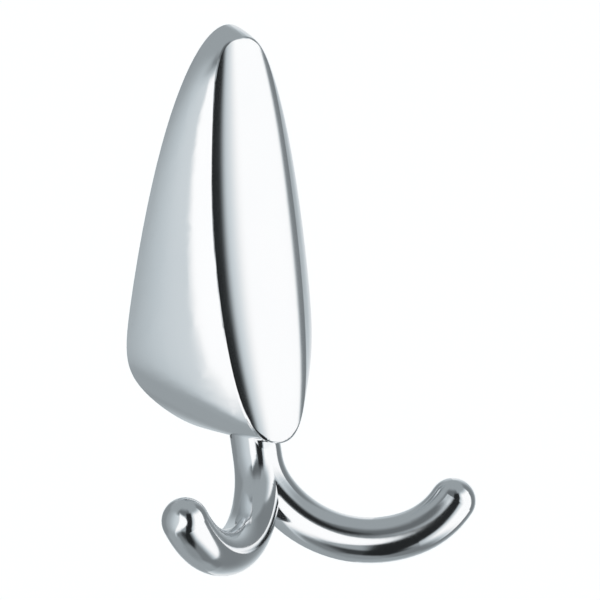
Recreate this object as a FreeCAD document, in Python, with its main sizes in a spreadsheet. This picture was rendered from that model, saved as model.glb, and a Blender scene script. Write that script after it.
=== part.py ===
import FreeCAD, Part
import math
import os
import Sketcher

# Double robe hook: a hollow sail-shaped body with a long front facet, two round arms under it,
# and the concealed wall bracket and set screw that hold it.
# Millimetres. X to the right, Y into the wall, Z up. The origin lies on the wall, midway between
# the two screw holes of the bracket.

SIZES = (
    # outline of the body where it meets the wall, as the poles of one half
    ("base_top", 59.9),
    ("base_bottom", 34.0),
    ("base_crown", 6.1),
    ("base_shoulder_width", 17.55),
    ("base_shoulder_height", 39.7),
    ("base_hip_width", 25.25),
    ("base_hip_drop", 9.8),
    ("base_heel_width", 25.05),
    ("base_heel_drop", 22.85),
    ("base_toe", 5.4),
    # outline just in front of the facet, in the facet's own tilted plane
    ("front_top", 58.0),
    ("front_bottom", 34.2),
    ("front_crown", 3.8),
    ("front_shoulder_width", 3.05),
    ("front_shoulder_height", 56.0),
    ("front_hip_width", 6.15),
    ("front_hip_height", 5.1),
    ("front_heel_width", 6.4),
    ("front_heel_drop", 30.3),
    ("front_toe", 3.45),
    # facet: shallow arcs across a crest that leans out towards the bottom and bows a little
    ("facet_tilt", 13.75),
    ("facet_top_station", 64.0),
    ("facet_top_radius", 11.0),
    ("facet_top_bow", 0.9),
    ("facet_upper_station", 44.0),
    ("facet_upper_radius", 24.0),
    ("facet_upper_bow", 1.5),
    ("facet_middle_station", 8.0),
    ("facet_middle_radius", 32.0),
    ("facet_middle_bow", 0.85),
    ("facet_lower_station", 22.0),
    ("facet_lower_radius", 25.5),
    ("facet_lower_bow", 1.05),
    ("facet_bottom_station", 40.0),
    ("facet_bottom_radius", 10.0),
    ("crest_depth", 18.8),
    ("front_margin", 2.9),
    ("flank_bulge", 3.25),
    ("facet_edge_radius", 0.9),
    # stem and arms
    ("arm_radius", 5.25),
    ("arm_spread_angle", 58.5),
    ("arm_tilt", 18.9),
    ("stem_depth", 17.95),
    ("stem_drop", 35.75),
    ("stem_offset", 0.55),
    ("stem_root", 3.6),
    ("stem_length", 5.7),
    ("root_bend_radius", 17.5),
    ("root_bend_angle", 27.2),
    ("main_bend_radius", 27.3),
    ("main_bend_angle", 75.8),
    ("tip_bend_radius", 19.3),
    ("tip_bend_angle", 35.2),
    # hollow of the casting
    ("casting_wall", 2.8),
    ("facet_wall", 2.6),
    ("root_block_width", 14.0),
    ("root_block_height", 9.5),
    ("bridge_thickness", 3.0),
    ("core_overrun", 1.0),
    # wall bracket
    ("bracket_width", 16.0),
    ("bracket_flat_height", 36.0),
    ("bracket_thickness", 2.0),
    ("flare_reach", 5.5),
    ("flare_clearance", 0.5),
    ("corner_radius", 2.0),
    ("bend_radius", 1.5),
    ("hole_spacing", 24.0),
    ("hole_diameter", 4.5),
    ("seat_clearance", 0.15),
    # set screw
    ("screw_diameter", 4.0),
    ("screw_length", 10.0),
    ("screw_depth", 4.2),
    ("screw_clearance", 0.1),
    ("screw_chamfer", 0.4),
    ("socket_flats", 2.0),
    ("socket_depth", 2.5),
)

doc = FreeCAD.newDocument("double_robe_hook")
sheet = doc.addObject("Spreadsheet::Sheet", "Sizes")
for row, (alias, value) in enumerate(SIZES, start=1):
    sheet.set(f"A{row}", alias.replace("_", " "))
    sheet.set(f"B{row}", str(value))
    sheet.setAlias(f"B{row}", alias)
doc.recompute()


def new_body(label):
    """Empty body with the given label."""
    body = doc.addObject("PartDesign::Body", label)
    body.Label = label
    return body


def origin_plane(body, role):
    """One of the body's own origin planes."""
    return next(f for f in body.Origin.OriginFeatures if f.Role == role)


def new_sketch(body, name, role, place=None):
    """Sketch on an origin plane of the body, moved by a placement expression."""
    sketch = body.newObject("Sketcher::SketchObject", name)
    sketch.AttachmentSupport = [(origin_plane(body, role), "")]
    sketch.MapMode = "FlatFace"
    if place:
        sketch.setExpression("AttachmentOffset", place)
    doc.recompute()
    return sketch


def bind(sketch, constraint, expression):
    """Adds a driving constraint that follows an expression of the sizes."""
    index = sketch.addConstraint(constraint)
    sketch.setExpression(f"Constraints[{index}]", expression)


def bind_point(sketch, geo, pos, x, y):
    """Holds a point at two expressions, measured from the sketch's origin."""
    for kind, axis, text in (("DistanceX", -2, x), ("DistanceY", -1, y)):
        if text == "0":
            sketch.addConstraint(Sketcher.Constraint("PointOnObject", geo, pos, axis))
        else:
            value = float(sketch.evalExpression(text))
            bind(sketch, Sketcher.Constraint(kind, -1, 1, geo, pos, value), text)


def polygon(sketch, corners):
    """Closed polygon whose corners follow pairs of expressions."""
    at = [FreeCAD.Vector(*[float(sketch.evalExpression(t)) for t in c], 0) for c in corners]
    first = sketch.GeometryCount
    for start, end in zip(at, at[1:] + at[:1]):
        sketch.addGeometry(Part.LineSegment(start, end))
    for k in range(len(at)):
        following = first + (k + 1) % len(at)
        sketch.addConstraint(Sketcher.Constraint("Coincident", first + k, 2, following, 1))
    for k, (x, y) in enumerate(corners):
        bind_point(sketch, first + k, 1, x, y)
    doc.recompute()


def circle(sketch, x, y, radius):
    """Circle whose centre and radius follow expressions."""
    centre = FreeCAD.Vector(*[float(sketch.evalExpression(t)) for t in (x, y)], 0)
    value = float(sketch.evalExpression(radius))
    geo = sketch.addGeometry(Part.Circle(centre, FreeCAD.Vector(0, 0, 1), value))
    bind_point(sketch, geo, 3, x, y)
    bind(sketch, Sketcher.Constraint("Radius", geo, value), radius)
    doc.recompute()


def leaf(sketch, poles):
    """Leaf outline of two mirrored splines. The seven poles of the right half are pairs of expressions.

    The first and last pairs of poles are level, so that the halves meet without a corner.
    """
    at = [[float(sketch.evalExpression(t)) for t in pole] for pole in poles]
    count = len(poles)
    halves = []
    for side in (1, -1):
        curve = Part.BSplineCurve()
        points = [FreeCAD.Vector(side * x, z, 0) for x, z in at]
        curve.buildFromPolesMultsKnots(points, (4, 1, 1, 1, 4), (0, 0.25, 0.5, 0.75, 1), False, 3)
        geo = sketch.addGeometry(curve)
        sketch.exposeInternalGeometry(geo)
        halves.append(geo)
    right, left = halves
    for k, (x, z) in enumerate(poles):
        bind_point(sketch, right + 1 + k, 3, x, z)
    for k in range(count):
        pair = (right + 1 + k, 3, left + 1 + k, 3)
        if k in (0, count - 1):
            sketch.addConstraint(Sketcher.Constraint("Coincident", *pair))
        else:
            sketch.addConstraint(Sketcher.Constraint("Symmetric", *pair, -2))
    doc.recompute()


def between(base, front, bulge=0.0):
    """Expression for the middle section: halfway, plus a share of the flank's bulge."""
    return f"({base} + {front}) / 2 + {bulge} * Sizes.flank_bulge"


def pocket(body, sketch, name, length):
    """Cut of the given length expression, half of it to each side of the sketch."""
    cut = body.newObject("PartDesign::Pocket", name)
    cut.Profile = sketch
    cut.Type = "Length"
    cut.SideType = "Symmetric"
    cut.setExpression("Length", length)
    doc.recompute()
    return cut


def edges_where(feature, test):
    """Names of the feature's edges that pass the test."""
    return [f"Edge{k}" for k, edge in enumerate(feature.Shape.Edges, start=1) if test(edge)]


def fillet(body, feature, name, edges, radius):
    """Round on the named edges of a feature."""
    rounded = body.newObject("PartDesign::Fillet", name)
    rounded.Base = (feature, edges)
    rounded.setExpression("Radius", radius)
    doc.recompute()
    return rounded


# Hook casting: the sail, lofted from the wall outline through a fuller middle to the slender front.
casting = new_body("hook_casting")
BASE = (
    ("0", "Sizes.base_top"),
    ("Sizes.base_crown", "Sizes.base_top"),
    ("Sizes.base_shoulder_width", "Sizes.base_shoulder_height"),
    ("Sizes.base_hip_width", "-Sizes.base_hip_drop"),
    ("Sizes.base_heel_width", "-Sizes.base_heel_drop"),
    ("Sizes.base_toe", "-Sizes.base_bottom"),
    ("0", "-Sizes.base_bottom"),
)
FRONT = (
    ("0", "Sizes.front_top"),
    ("Sizes.front_crown", "Sizes.front_top"),
    ("Sizes.front_shoulder_width", "Sizes.front_shoulder_height"),
    ("Sizes.front_hip_width", "Sizes.front_hip_height"),
    ("Sizes.front_heel_width", "-Sizes.front_heel_drop"),
    ("Sizes.front_toe", "-Sizes.front_bottom"),
    ("0", "-Sizes.front_bottom"),
)
BULGE = (0.0, 0.1, 0.5, 1.0, 0.9, 0.3, 0.0)
MIDDLE = tuple(
    ("0" if b[0] == "0" else between(b[0], f[0], share), between(b[1], f[1]))
    for b, f, share in zip(BASE, FRONT, BULGE)
)
base_outline = new_sketch(casting, "base_outline", "XZ_Plane")
leaf(base_outline, BASE)
middle_outline = new_sketch(
    casting,
    "middle_outline",
    "XZ_Plane",
    "placement(vector(0; 0; (Sizes.crest_depth + Sizes.front_margin) / 2);"
    " rotationx(-Sizes.facet_tilt / 2))",
)
leaf(middle_outline, MIDDLE)
front_outline = new_sketch(
    casting,
    "front_outline",
    "XZ_Plane",
    "placement(vector(0; 0; Sizes.crest_depth + Sizes.front_margin); rotationx(-Sizes.facet_tilt))",
)
leaf(front_outline, FRONT)
sail = casting.newObject("PartDesign::AdditiveLoft", "sail")
sail.Profile = base_outline
sail.Sections = [middle_outline, front_outline]
doc.recompute()

# Facet: everything in front of the leaning, bowed crest is cut away along arcs that flatten towards
# the middle, so that the facet meets the flanks at about the same angle all the way round.
FACET_STATIONS = (
    ("top", "Sizes.facet_top_station", "-Sizes.facet_top_bow"),
    ("upper", "Sizes.facet_upper_station", "-Sizes.facet_upper_bow"),
    ("middle", "Sizes.facet_middle_station", "-Sizes.facet_middle_bow"),
    ("lower", "-Sizes.facet_lower_station", "-Sizes.facet_lower_bow"),
    ("bottom", "-Sizes.facet_bottom_station", "0"),
)
facet_sections = []
for station, height, bow in FACET_STATIONS:
    section = new_sketch(
        casting,
        f"facet_{station}",
        "XY_Plane",
        "placement(vector(0; -Sizes.crest_depth; 0); rotationx(-Sizes.facet_tilt))"
        f" * placement(vector(0; {bow}; {height}); rotationx(0))",
    )
    arc_radius = f"Sizes.facet_{station}_radius"
    radius = float(section.evalExpression(arc_radius))
    margin = float(section.evalExpression("2 * Sizes.front_margin"))
    reach, rise = 0.75 * radius, (1 - math.sqrt(1 - 0.75**2)) * radius
    ring = Part.Circle(FreeCAD.Vector(0, radius, 0), FreeCAD.Vector(0, 0, 1), radius)
    span = math.asin(0.75)
    section.addGeometry(Part.ArcOfCircle(ring, 1.5 * math.pi - span, 1.5 * math.pi + span))
    open_side = [(reach, rise), (reach, -margin), (-reach, -margin), (-reach, rise)]
    for start, end in zip(open_side, open_side[1:]):
        section.addGeometry(Part.LineSegment(FreeCAD.Vector(*start, 0), FreeCAD.Vector(*end, 0)))
    for one, other in ((0, 1), (1, 2), (2, 3), (3, 0)):
        section.addConstraint(Sketcher.Constraint("Coincident", one, 2, other, 1))
    for line, kind in ((1, "Vertical"), (2, "Horizontal"), (3, "Vertical")):
        section.addConstraint(Sketcher.Constraint(kind, line))
    bind_point(section, 0, 3, "0", arc_radius)
    bind(section, Sketcher.Constraint("Radius", 0, radius), arc_radius)
    bind(section, Sketcher.Constraint("DistanceX", -1, 1, 1, 1, reach), f"0.75 * {arc_radius}")
    bind(section, Sketcher.Constraint("DistanceX", 3, 2, -1, 1, reach), f"0.75 * {arc_radius}")
    bind(section, Sketcher.Constraint("DistanceY", 2, 1, -1, 1, margin), "2 * Sizes.front_margin")
    facet_sections.append(section)
doc.recompute()
facet = casting.newObject("PartDesign::SubtractiveLoft", "facet")
facet.Profile = facet_sections[0]
facet.Sections = facet_sections[1:]
doc.recompute()


def on_facet(edge):
    """True for an edge between the facet and a flank: all of it stands well off the wall."""
    return edge.BoundBox.YMax < -0.1


facet_edge = fillet(
    casting,
    facet,
    "facet_edge",
    edges_where(facet, on_facet),
    "Sizes.facet_edge_radius",
)

# Arms: a round bar runs down from inside the body, then out and up in three bends, to each side.
size = {alias: float(sheet.get(alias)) for alias, _ in SIZES}
ARMS = (
    ("right", "Sizes.arm_spread_angle - 90"),
    ("left", "-Sizes.arm_spread_angle - 90"),
)
for side, turn_out in ARMS:
    arm_path = new_sketch(
        casting,
        f"{side}_path",
        "XZ_Plane",
        "placement(vector(0; -Sizes.stem_drop; Sizes.stem_depth);"
        f" rotationx(-Sizes.arm_tilt) * rotationy({turn_out}))",
    )
    point = FreeCAD.Vector(size["stem_offset"], size["stem_root"], 0)
    down = FreeCAD.Vector(size["stem_offset"], size["stem_root"] - size["stem_length"], 0)
    stem_line = arm_path.addGeometry(Part.LineSegment(point, down))
    bind_point(arm_path, stem_line, 1, "Sizes.stem_offset", "Sizes.stem_root")
    arm_path.addConstraint(Sketcher.Constraint("Vertical", stem_line))
    straight = Sketcher.Constraint("Distance", stem_line, size["stem_length"])
    bind(arm_path, straight, "Sizes.stem_length")
    point, heading, before = down, -0.5 * math.pi, (stem_line, 2)
    for bend in ("root", "main", "tip"):
        bend_radius = size[f"{bend}_bend_radius"]
        turn = math.radians(size[f"{bend}_bend_angle"])
        centre = point + FreeCAD.Vector(-math.sin(heading), math.cos(heading), 0) * bend_radius
        ring = Part.Circle(centre, FreeCAD.Vector(0, 0, 1), bend_radius)
        start = heading - 0.5 * math.pi
        arc = Part.ArcOfCircle(ring, start, start + turn)
        geo = arm_path.addGeometry(arc)
        arm_path.addConstraint(Sketcher.Constraint("Tangent", *before, geo, 1))
        bind(arm_path, Sketcher.Constraint("Radius", geo, bend_radius), f"Sizes.{bend}_bend_radius")
        bind(arm_path, Sketcher.Constraint("Angle", geo, turn), f"Sizes.{bend}_bend_angle * 1 deg")
        point, heading, before = arc.EndPoint, heading + turn, (geo, 2)
    doc.recompute()
    arm_section = casting.newObject("Sketcher::SketchObject", f"{side}_section")
    arm_section.AttachmentSupport = [(arm_path, "Edge1")]
    arm_section.MapMode = "NormalToEdge"
    doc.recompute()
    circle(arm_section, "0", "0", "Sizes.arm_radius")
    arm = casting.newObject("PartDesign::AdditivePipe", f"{side}_arm")
    arm.Profile = arm_section
    arm.Spine = (arm_path, ["Edge1", "Edge2", "Edge3", "Edge4"])
    doc.recompute()
    arm_end = casting.newObject("PartDesign::AdditiveSphere", f"{side}_arm_end")
    arm_end.AttachmentSupport = [(arm_path, "Edge4")]
    arm_end.MapMode = "NormalToEdge"
    arm_end.MapPathParameter = 1.0
    arm_end.Angle2 = 0
    arm_end.setExpression("Radius", "Sizes.arm_radius")
    doc.recompute()

# Hollow of the casting: a drafted core, parted by a bridge that hooks over the bracket and cut away
# round the solid block that carries the stem and the set screw.
core = new_body("core")
CORE_BASE = (
    ("0", "Sizes.base_top - Sizes.casting_wall"),
    ("Sizes.base_crown - 0.5 * Sizes.casting_wall", "Sizes.base_top - Sizes.casting_wall"),
    ("Sizes.base_shoulder_width - Sizes.casting_wall", "Sizes.base_shoulder_height"),
    ("Sizes.base_hip_width - Sizes.casting_wall", "-Sizes.base_hip_drop"),
    ("Sizes.base_heel_width - Sizes.casting_wall", "-Sizes.base_heel_drop + 0.5 * Sizes.casting_wall"),
    ("Sizes.base_toe", "-Sizes.base_bottom + Sizes.casting_wall"),
    ("0", "-Sizes.base_bottom + Sizes.casting_wall"),
)
CORE_FRONT = (
    ("0", "Sizes.front_top - Sizes.casting_wall"),
    ("0.6 * Sizes.front_crown", "Sizes.front_top - Sizes.casting_wall"),
    ("0.9 * Sizes.front_shoulder_width", "Sizes.front_shoulder_height - 1.75 * Sizes.casting_wall"),
    ("Sizes.front_hip_width", "Sizes.front_hip_height - Sizes.casting_wall"),
    ("0.9 * Sizes.front_heel_width", "-Sizes.front_heel_drop + 1.5 * Sizes.casting_wall"),
    ("0.9 * Sizes.front_toe", "-Sizes.front_bottom + 2 * Sizes.casting_wall"),
    ("0", "-Sizes.front_bottom + 2 * Sizes.casting_wall"),
)
core_base = new_sketch(core, "core_base", "XZ_Plane")
leaf(core_base, CORE_BASE)
core_front = new_sketch(
    core,
    "core_front",
    "XZ_Plane",
    "placement(vector(0; 0; Sizes.crest_depth - Sizes.facet_wall); rotationx(-Sizes.facet_tilt))",
)
leaf(core_front, CORE_FRONT)
core_loft = core.newObject("PartDesign::AdditiveLoft", "core_loft")
core_loft.Profile = core_base
core_loft.Sections = [core_front]
doc.recompute()
HALF_FLAT = "Sizes.bracket_flat_height / 2"
HOOK_REACH = "(Sizes.flare_reach + Sizes.bracket_thickness + Sizes.flare_clearance)"
SEAT = "1.4142 * Sizes.seat_clearance"
bridge_profile = new_sketch(core, "bridge_profile", "YZ_Plane")
polygon(
    bridge_profile,
    (
        ("Sizes.core_overrun", f"{HALF_FLAT} - Sizes.core_overrun + {SEAT}"),
        ("Sizes.core_overrun", f"{HALF_FLAT} + {HOOK_REACH} + Sizes.bridge_thickness"),
        ("-2 * Sizes.crest_depth", f"{HALF_FLAT} + {HOOK_REACH} + Sizes.bridge_thickness"),
        ("-2 * Sizes.crest_depth", f"{HALF_FLAT} + {HOOK_REACH} + {SEAT}"),
        (f"-{HOOK_REACH}", f"{HALF_FLAT} + {HOOK_REACH} + {SEAT}"),
    ),
)
bridge = pocket(core, bridge_profile, "bridge", "4 * Sizes.base_hip_width")
block_profile = new_sketch(core, "block_profile", "XZ_Plane")
polygon(
    block_profile,
    (
        ("-Sizes.root_block_width / 2", "-Sizes.base_bottom - Sizes.core_overrun"),
        ("Sizes.root_block_width / 2", "-Sizes.base_bottom - Sizes.core_overrun"),
        ("Sizes.root_block_width / 2", "-Sizes.base_bottom + Sizes.root_block_height"),
        ("-Sizes.root_block_width / 2", "-Sizes.base_bottom + Sizes.root_block_height"),
    ),
)
block = pocket(core, block_profile, "block", "4 * Sizes.crest_depth")
hollow = casting.newObject("PartDesign::Boolean", "hollow")
hollow.Type = "Cut"
hollow.setObjects([core])
casting.Tip = hollow
doc.recompute()
screw_hole_centre = new_sketch(
    casting,
    "screw_hole_centre",
    "XY_Plane",
    "placement(vector(0; 0; -Sizes.base_bottom); rotationx(0))",
)
HOLE_RADIUS = "Sizes.screw_diameter / 2 + Sizes.screw_clearance"
circle(screw_hole_centre, "0", "-Sizes.screw_depth", HOLE_RADIUS)
screw_hole = pocket(casting, screw_hole_centre, "screw_hole", "2.4 * Sizes.root_block_height")

# Wall bracket: a steel strip with both ends bent forward, so that the casting wedges on them.
bracket = new_body("wall_bracket")
T = "Sizes.bracket_thickness"
F = "Sizes.flare_reach"
strip = new_sketch(bracket, "strip", "YZ_Plane")
polygon(
    strip,
    (
        ("0", f"{HALF_FLAT}"),
        ("0", f"-{HALF_FLAT}"),
        (f"-{F}", f"-{HALF_FLAT} - {F}"),
        (f"-{F} - 0.7071 * {T}", f"-{HALF_FLAT} - {F} + 0.7071 * {T}"),
        (f"-{T}", f"-{HALF_FLAT} + 0.4142 * {T}"),
        (f"-{T}", f"{HALF_FLAT} - 0.4142 * {T}"),
        (f"-{F} - 0.7071 * {T}", f"{HALF_FLAT} + {F} - 0.7071 * {T}"),
        (f"-{F}", f"{HALF_FLAT} + {F}"),
    ),
)
strip_pad = bracket.newObject("PartDesign::Pad", "strip_pad")
strip_pad.Profile = strip
strip_pad.SideType = "Symmetric"
strip_pad.setExpression("Length", "Sizes.bracket_width")
doc.recompute()
hole_centres = new_sketch(bracket, "hole_centres", "XZ_Plane")
circle(hole_centres, "0", "Sizes.hole_spacing / 2", "Sizes.hole_diameter / 2")
circle(hole_centres, "0", "-Sizes.hole_spacing / 2", "Sizes.hole_diameter / 2")
holes = pocket(bracket, hole_centres, "holes", "4 * Sizes.bracket_thickness")
half_flat = size["bracket_flat_height"] / 2
thickness = size["bracket_thickness"]


def at_bend(depth, height):
    """Test for the long edges of the two bends at a depth and height on the strip."""

    def test(edge):
        box = edge.BoundBox
        level = abs(abs(box.ZMin) - height) < 1e-4 and box.ZLength < 1e-6
        return level and abs(box.YMin + depth) < 1e-4 and box.YLength < 1e-6

    return test


inner_bends = fillet(
    bracket,
    holes,
    "inner_bends",
    edges_where(holes, at_bend(thickness, half_flat - 0.4142 * thickness)),
    "Sizes.bend_radius",
)
outer_bends = fillet(
    bracket,
    inner_bends,
    "outer_bends",
    edges_where(inner_bends, at_bend(0.0, half_flat)),
    "Sizes.bend_radius + Sizes.bracket_thickness",
)


def at_corner(edge):
    """True for the four short edges at the corners of the bent ends."""
    across = edge.BoundBox.XLength < 1e-6 and abs(edge.Length - thickness) < 1e-3
    return across and abs(edge.CenterOfMass.z) > half_flat


end_corners = fillet(
    bracket,
    outer_bends,
    "end_corners",
    edges_where(outer_bends, at_corner),
    "Sizes.corner_radius",
)

# Set screw: socket head at the bottom, cone point on the lower bent end of the bracket.
screw = new_body("set_screw")
R = "Sizes.screw_diameter / 2"
half_section = new_sketch(screw, "half_section", "XZ_Plane")
polygon(
    half_section,
    (
        ("0", "0"),
        ("0", "-Sizes.screw_length"),
        (f"{R} - Sizes.screw_chamfer", "-Sizes.screw_length"),
        (R, "-Sizes.screw_length + Sizes.screw_chamfer"),
        (R, f"-{R}"),
    ),
)
turned = screw.newObject("PartDesign::Revolution", "turned")
turned.Profile = half_section
turned.ReferenceAxis = (half_section, ["V_Axis"])
turned.Angle = 360
doc.recompute()
socket_section = new_sketch(
    screw,
    "socket_section",
    "XY_Plane",
    "placement(vector(0; 0; -Sizes.screw_length); rotationx(0))",
)
FLAT = "Sizes.socket_flats / 2"
POINT = "Sizes.socket_flats / 1.7321"
polygon(
    socket_section,
    (
        (POINT, "0"),
        (f"{POINT} / 2", FLAT),
        (f"-{POINT} / 2", FLAT),
        (f"-{POINT}", "0"),
        (f"-{POINT} / 2", f"-{FLAT}"),
        (f"{POINT} / 2", f"-{FLAT}"),
    ),
)
socket = pocket(screw, socket_section, "socket", "2 * Sizes.socket_depth")
screw.setExpression("Placement.Base.y", "-Sizes.screw_depth")
screw.setExpression("Placement.Base.z", f"-{HALF_FLAT} - Sizes.screw_depth - {SEAT}")
doc.recompute()

nodes = (casting, bracket, screw)
for item in doc.Objects:
    if "Invalid" in item.State or "Error" in item.State:
        raise RuntimeError(f"{item.Label} did not build: {item.State}")
for node in nodes:
    shape = node.Shape
    if not shape.isValid() or len(shape.Solids) != 1:
        raise RuntimeError(f"{node.Label} is not one sound solid")
os.makedirs("parts", exist_ok=True)
for node in nodes:
    node.Shape.exportStep(f"parts/{node.Label}.step")
    box = node.Shape.BoundBox
    print(node.Label, "volume", round(node.Shape.Volume, 1), "box", box)
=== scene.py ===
import math

import bpy
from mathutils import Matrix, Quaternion, Vector

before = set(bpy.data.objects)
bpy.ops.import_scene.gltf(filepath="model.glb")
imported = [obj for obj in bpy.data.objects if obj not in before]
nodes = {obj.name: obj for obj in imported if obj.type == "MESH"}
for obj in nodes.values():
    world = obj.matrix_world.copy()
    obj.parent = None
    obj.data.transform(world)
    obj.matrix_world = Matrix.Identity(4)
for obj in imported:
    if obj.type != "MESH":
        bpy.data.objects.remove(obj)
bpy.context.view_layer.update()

scene = bpy.context.scene

DEGREES = 180 / math.pi
WHITE = (1.0, 1.0, 1.0, 1.0)

# Camera: at the photograph's angle, aimed so that the hook lies where it does there. Metres.
AZIMUTH = math.radians(-34.0)
ROLL = math.radians(2.5)
AIM = Vector((0.01872, -0.00633, -0.00378))
EYE = Vector((-0.5998, -0.8893, 0.1332))
SENSOR_MM = 36.0
LENS_MM = 280.8
NEAREST = 0.01
FARTHEST = 100.0

# Studio: the tint of its greys.
COOL_GREY = (0.87, 0.96, 1.01, 1.0)

# Facet: how far up its leaning crest each arc lies and the radius of that arc, the crest's tilt and
# depth, and how far up and back the facet's even polish reaches. Metres.
FACET_ARCS = ((0.064, 0.011), (0.044, 0.024), (0.008, 0.032), (-0.022, 0.0255), (-0.04, 0.01))
FACET_TILT = math.radians(13.75)
CREST_DEPTH = 0.0188
FACET_FOOT = -0.038
FACET_TOP = 0.062
FACET_FADE = 0.002
FACET_REAR = -0.005

# Hollow: its rim by the wall, the body's toe and crown, and the block that carries the stem. Metres.
RIM = -0.0003
TOE = -0.0335
CROWN = 0.045
BLOCK_HALF_WIDTH = 0.0072
BLOCK_FRONT = -0.015
BLOCK_BOTTOM = -0.0312
BLOCK_TOP = -0.0244

# Set screw: how far its axis lies in front of the wall, the thread's pitch, and the radii between
# which the thread fades in. Metres.
SCREW_DEPTH = 0.0042
THREAD_PITCH = 0.0007
THREAD_INNER = 0.0016
THREAD_OUTER = 0.0018

# Floor: well below the hook. Metres.
FLOOR_REACH = 12.0
FLOOR_HEIGHT = -0.2


class Value:
    """One socket of a node tree. Arithmetic on it adds Math nodes; node() adds any other kind."""

    def __init__(self, tree, socket=None):
        self.tree = tree
        self.socket = socket

    def node(self, kind, settings=None, inputs=None, outlet=0):
        """Adds a node: its settings first, then the values or links of its sockets."""
        made = self.tree.nodes.new(kind)
        for name, setting in (settings or {}).items():
            setattr(made, name, setting)
        for key, value in (inputs or {}).items():
            if isinstance(value, Value):
                self.tree.links.new(value.socket, made.inputs[key])
            else:
                made.inputs[key].default_value = value
        return Value(self.tree, made.outputs[outlet])

    def show(self, kind):
        """Links this shader to a new output node of the given kind."""
        end = self.tree.nodes.new(kind)
        self.tree.links.new(self.socket, end.inputs["Surface"])

    def math(self, operation, *values):
        """Adds a Math node on the given values."""
        return self.node("ShaderNodeMath", {"operation": operation}, dict(enumerate(values)))

    def __add__(self, other):
        return self.math("ADD", self, other)

    def __radd__(self, other):
        return self.math("ADD", other, self)

    def __sub__(self, other):
        return self.math("SUBTRACT", self, other)

    def __rsub__(self, other):
        return self.math("SUBTRACT", other, self)

    def __mul__(self, other):
        return self.math("MULTIPLY", self, other)

    def __rmul__(self, other):
        return self.math("MULTIPLY", other, self)

    def __truediv__(self, other):
        return self.math("DIVIDE", self, other)

    def step(self, low, high):
        """Rises smoothly from 0 at low to 1 at high."""
        return self.node(
            "ShaderNodeMapRange",
            {"interpolation_type": "SMOOTHSTEP"},
            {"Value": self, "From Min": low, "From Max": high},
        )

    def band(self, low, high, soft_low, soft_high):
        """1 between low and high, with soft edges of the given widths inside it."""
        return self.step(low, low + soft_low) * (1 - self.step(high - soft_high, high))

    def less(self, limit):
        """1 where this value is below the limit, else 0."""
        return self.math("LESS_THAN", self, limit)

    def more(self, limit):
        """1 where this value is above the limit, else 0."""
        return self.math("GREATER_THAN", self, limit)

    def either(self, other):
        """The larger of two masks."""
        return self.math("MAXIMUM", self, other)

    def size(self):
        """The value without its sign."""
        return self.math("ABSOLUTE", self)

    def root(self):
        """The square root of the value."""
        return self.math("SQRT", self)

    def over(self, below, level):
        """A level laid over what is below, where this mask is 1."""
        return below + self * (level - below)

    def mix(self, first, second):
        """Colour between first, where this value is 0, and second, where it is 1."""
        return self.node(
            "ShaderNodeMix", {"data_type": "RGBA"}, {0: self, 6: first, 7: second}, outlet=2
        )


def axes(start, vector):
    """The three components of a vector."""
    split = start.node("ShaderNodeSeparateXYZ", inputs={0: vector})
    return [Value(start.tree, socket) for socket in split.socket.node.outputs]


def photo_camera():
    """Camera at the eye, turned to the aim and rolled a little."""
    data = bpy.data.cameras.new("camera")
    data.sensor_width = SENSOR_MM
    data.lens = LENS_MM
    data.clip_start = NEAREST
    data.clip_end = FARTHEST
    camera = bpy.data.objects.new("camera", data)
    scene.collection.objects.link(camera)
    camera.location = EYE
    camera.rotation_mode = "QUATERNION"
    camera.rotation_quaternion = (AIM - EYE).to_track_quat("-Z", "Y") @ Quaternion((0, 0, 1), ROLL)
    return camera


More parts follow.
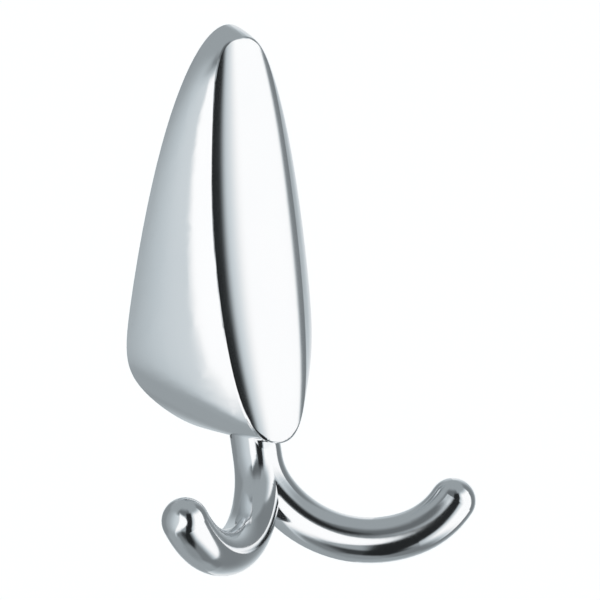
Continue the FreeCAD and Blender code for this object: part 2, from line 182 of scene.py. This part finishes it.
def studio():
    """World: plain white to the camera, and to reflections a studio that depends on direction.

    Two white panels stand on the camera's side with a dark gap between them, and greys lie all round.
    Around is in degrees from the camera, plus to its right, and height is in degrees above the level.
    """
    world = bpy.data.worlds.new("studio")
    world.use_nodes = True
    world.node_tree.nodes.clear()
    start = Value(world.node_tree)
    x, y, z = axes(start, start.node("ShaderNodeTexCoord", outlet="Generated"))
    towards = x * math.sin(AZIMUTH) - y * math.cos(AZIMUTH)
    right = x * math.cos(AZIMUTH) + y * math.sin(AZIMUTH)
    around = start.math("ARCTAN2", right, towards) * DEGREES
    height = start.math("ARCSINE", z) * DEGREES

    # Each patch: where it begins and ends and how soft both edges are, first around and then up.
    haze = around.band(-98.0, -18.0, 62.0, 6.0) * height.band(-68.0, 50.0, 43.0, 22.0)
    back = around.step(138.0, 178.0) * height.band(-55.0, 50.0, 25.0, 25.0)
    back_left = (1 - around.step(-178.0, -150.0)) * height.band(-36.0, 50.0, 20.0, 25.0)
    shade_left = around.band(-165.0, -95.0, 15.0, 20.0) * height.band(-45.0, 40.0, 15.0, 15.0)
    shade_right = around.band(101.0, 152.0, 8.0, 26.0) * height.band(-66.0, 58.0, 10.0, 12.0)
    under = around.band(-85.0, 138.0, 35.0, 25.0) * height.band(-82.0, -38.0, 10.0, 18.0)
    under_front = around.band(-42.0, 56.0, 32.0, 16.0) * height.band(-76.0, -36.0, 8.0, 14.0)
    over_front = around.band(-66.0, 32.0, 30.0, 12.0) * height.band(28.0, 76.0, 12.0, 24.0)
    gap = around.band(2.0, 46.0, 6.0, 10.0) * height.band(-76.0, 54.0, 8.0, 14.0)
    right_panel = around.band(32.0, 107.0, 7.0, 4.5) * height.band(-60.0, 55.0, 28.0, 25.0)
    right_glow = 0.6 + 0.42 * around.step(35.0, 56.0)

    # The left panel has bowed sides and sloping ends.
    left_side = around + 0.0102 * (height - 12.0) * (height - 12.0)
    right_side = around + 0.02 * (height - 3.0) * (height - 3.0)
    lower_end = height - 0.38 * around
    upper_end = height + 0.4 * around
    left_panel = left_side.step(-32.6, -25.2) * (1 - right_side.step(7.0, 12.0))
    left_panel = left_panel * lower_end.step(-38.0, -14.0) * (1 - upper_end.step(21.0, 34.0))

    # The patches are laid over the plain room in this order.
    light = 0.28 + 0.08 * height.step(-85.0, -65.0) + 0.32 * haze
    for patch, level in (
        (back, 0.84),
        (back_left, 0.6),
        (shade_left, 0.27),
        (shade_right, 0.22),
        (under, 0.2),
        (under_front, 0.05),
        (over_front, 0.15),
        (gap, 0.02),
        (left_panel, 1.03),
        (right_panel, right_glow),
    ):
        light = patch.over(light, level)
    tint = light.step(0.55, 1.0).mix(COOL_GREY, WHITE)
    camera_ray = start.node("ShaderNodeLightPath", outlet="Is Camera Ray")
    plain = start.node("ShaderNodeBackground", inputs={"Color": WHITE, "Strength": 1.0})
    reflected = start.node("ShaderNodeBackground", inputs={"Color": tint, "Strength": light})
    seen = start.node("ShaderNodeMixShader", inputs={0: camera_ray, 1: reflected, 2: plain})
    seen.show("ShaderNodeOutputWorld")
    return world


def new_material(name):
    """Empty node material and a starting value on its tree."""
    material = bpy.data.materials.new(name)
    material.use_nodes = True
    material.node_tree.nodes.clear()
    return material, Value(material.node_tree)


def metal(start, colour, roughness, normal):
    """Metal surface with the given colour, roughness and normal."""
    surface = start.node(
        "ShaderNodeBsdfPrincipled",
        inputs={"Base Color": colour, "Metallic": 1.0, "Roughness": roughness, "Normal": normal},
    )
    surface.show("ShaderNodeOutputMaterial")


def stretched_noise(start, place, scale, detail):
    """Noise with its own scale along each axis, from 0 to 1."""
    stretched = start.node("ShaderNodeVectorMath", {"operation": "MULTIPLY"}, {0: place, 1: scale})
    return start.node(
        "ShaderNodeTexNoise", inputs={"Vector": stretched, "Scale": 1.0, "Detail": detail}
    )


def relief(start, height, strength, distance, normal=None):
    """Normal of a fine relief of the given height, over the given normal or else the mesh's own."""
    inputs = {"Strength": strength, "Distance": distance, "Height": height}
    if normal is not None:
        inputs["Normal"] = normal
    return start.node("ShaderNodeBump", inputs=inputs)


def facet_radius(up):
    """Radius across the facet at a distance up the crest: one smooth curve through its arcs."""
    total = 0.0
    for station, radius in FACET_ARCS:
        others = [other for other, _ in FACET_ARCS if other != station]
        term = radius / math.prod(station - other for other in others)
        for other in others:
            term = term * (up - other)
        total = total + term
    return total


def facet_polish(start, place, facing):
    """Normal with the even roll of the polished facet across its width, and as it is elsewhere.

    The roll is the slope of a circle at x: x over the root of radius squared less x squared. It takes
    over where the mesh's own roll is close to it.
    """
    x, y, z = axes(start, place)
    nx, ny, nz = axes(start, facing)
    up = (y + CREST_DEPTH) * math.sin(FACET_TILT) + z * math.cos(FACET_TILT)
    radius = facet_radius(up)
    roll = x / (radius * radius - x * x).root()
    upright = (ny * ny + nz * nz).root()
    close = 1 - (nx / upright - roll).size().step(0.06, 0.12)
    along = up.band(FACET_FOOT, FACET_TOP, FACET_FADE, FACET_FADE)
    on_facet = close * along * ny.less(-0.8) * y.less(FACET_REAR)
    even = start.node("ShaderNodeCombineXYZ", inputs={0: roll * upright, 1: ny, 2: nz})
    blend = start.node(
        "ShaderNodeMix", {"data_type": "VECTOR"}, {0: on_facet, 4: facing, 5: even}, outlet=1
    )
    return start.node("ShaderNodeVectorMath", {"operation": "NORMALIZE"}, {0: blend})


def polished_chrome():
    """Bright plating outside. Inside the hollow, where no wheel reaches, the cast skin stays satin."""
    material, start = new_material("polished_chrome")
    place = start.node("ShaderNodeTexCoord", outlet="Object")
    facing = start.node("ShaderNodeNewGeometry", outlet="Normal")
    x, y, z = axes(start, place)
    nx, ny, nz = axes(start, facing)
    to_middle = (x * nx).less(-0.0004)
    to_wall = ny.more(0.15) * y.less(RIM)
    upward = nz.more(0.9) * z.less(CROWN)
    block = x.size().less(BLOCK_HALF_WIDTH) * z.more(BLOCK_BOTTOM) * z.less(BLOCK_TOP)
    block = block * y.more(BLOCK_FRONT) * y.less(RIM)
    hollow = to_middle.either(to_wall).either(upward).either(block) * z.more(TOE)
    cloud = stretched_noise(start, place, (60.0, 60.0, 60.0), 3.0)
    fine = stretched_noise(start, place, (700.0, 700.0, 700.0), 4.0)
    plated = cloud.mix((0.93, 0.945, 0.96, 1), (0.97, 0.975, 0.98, 1))
    cast = fine.mix((0.36, 0.365, 0.37, 1), (0.56, 0.565, 0.57, 1))
    colour = hollow.mix(plated, cast)
    roughness = hollow.over(0.08 + 0.05 * cloud, 0.42 + 0.14 * fine)
    even = facet_polish(start, place, facing)
    metal(start, colour, roughness, relief(start, hollow * fine, 0.35, 0.0003, even))
    return material


def zinc_plated_steel():
    """Rolled strip with bright zinc: streaks along its length and a cloudy yellowish passivation."""
    material, start = new_material("zinc_plated_steel")
    place = start.node("ShaderNodeTexCoord", outlet="Object")
    streak = stretched_noise(start, place, (2600.0, 2600.0, 70.0), 4.0)
    cloud = stretched_noise(start, place, (140.0, 140.0, 140.0), 3.0)
    steel = streak.mix((0.68, 0.71, 0.76, 1), (0.86, 0.88, 0.9, 1))
    warm = cloud.step(0.45, 0.7) * 0.5
    colour = warm.mix(steel, (0.84, 0.81, 0.7, 1))
    roughness = 0.26 + 0.12 * streak + 0.08 * cloud
    metal(start, colour, roughness, relief(start, streak, 0.15, 0.0002))
    return material


def screw_steel():
    """Satin dark steel with a fine thread: its ridge follows the turn plus the rise along the axis.
    The thread's grooves carry painted shade and its crests are painted lighter.
    """
    material, start = new_material("screw_steel")
    place = start.node("ShaderNodeTexCoord", outlet="Object")
    x, y, z = axes(start, place)
    y = y + SCREW_DEPTH
    turn = start.math("ARCTAN2", y, x) / (2 * math.pi)
    ridge = start.math("PINGPONG", z / THREAD_PITCH + turn, 0.5) * 2
    radius = (x * x + y * y).root()
    thread_relief_and_shade = ridge * radius.step(THREAD_INNER, THREAD_OUTER)
    fine = stretched_noise(start, place, (900.0, 900.0, 900.0), 3.0)
    # Painted shade: the colour darkens in the thread's grooves and lightens on its crests, over the
    # steel's own random tone.
    colour = (thread_relief_and_shade * 0.5 + fine * 0.5).mix((0.26, 0.26, 0.28, 1), (0.46, 0.46, 0.48, 1))
    metal(start, colour, 0.3 + 0.15 * fine, relief(start, thread_relief_and_shade, 0.8, 0.0003))
    return material


def pale_floor():
    """Square floor of a matt white that glows a little. The chrome doesn't reflect it."""
    mesh = bpy.data.meshes.new("floor")
    square = ((-1, -1), (1, -1), (1, 1), (-1, 1))
    corners = [(x * FLOOR_REACH, y * FLOOR_REACH, FLOOR_HEIGHT) for x, y in square]
    mesh.from_pydata(corners, [], [(0, 1, 2, 3)])
    material, start = new_material("pale_floor")
    matt = start.node("ShaderNodeBsdfDiffuse", inputs={"Color": (0.9, 0.9, 0.9, 1)})
    glow = start.node("ShaderNodeEmission", inputs={"Color": WHITE, "Strength": 0.66})
    start.node("ShaderNodeAddShader", inputs={0: matt, 1: glow}).show("ShaderNodeOutputMaterial")
    mesh.materials.append(material)
    floor = bpy.data.objects.new("floor", mesh)
    floor.visible_glossy = False
    scene.collection.objects.link(floor)
    return floor


scene.camera = photo_camera()
scene.world = studio()
finishes = {
    "hook_casting": polished_chrome(),
    "wall_bracket": zinc_plated_steel(),
    "set_screw": screw_steel(),
}
for name, finish in finishes.items():
    nodes[name].data.materials.clear()
    nodes[name].data.materials.append(finish)
floor = pale_floor()
scene.view_settings.view_transform = "Standard"
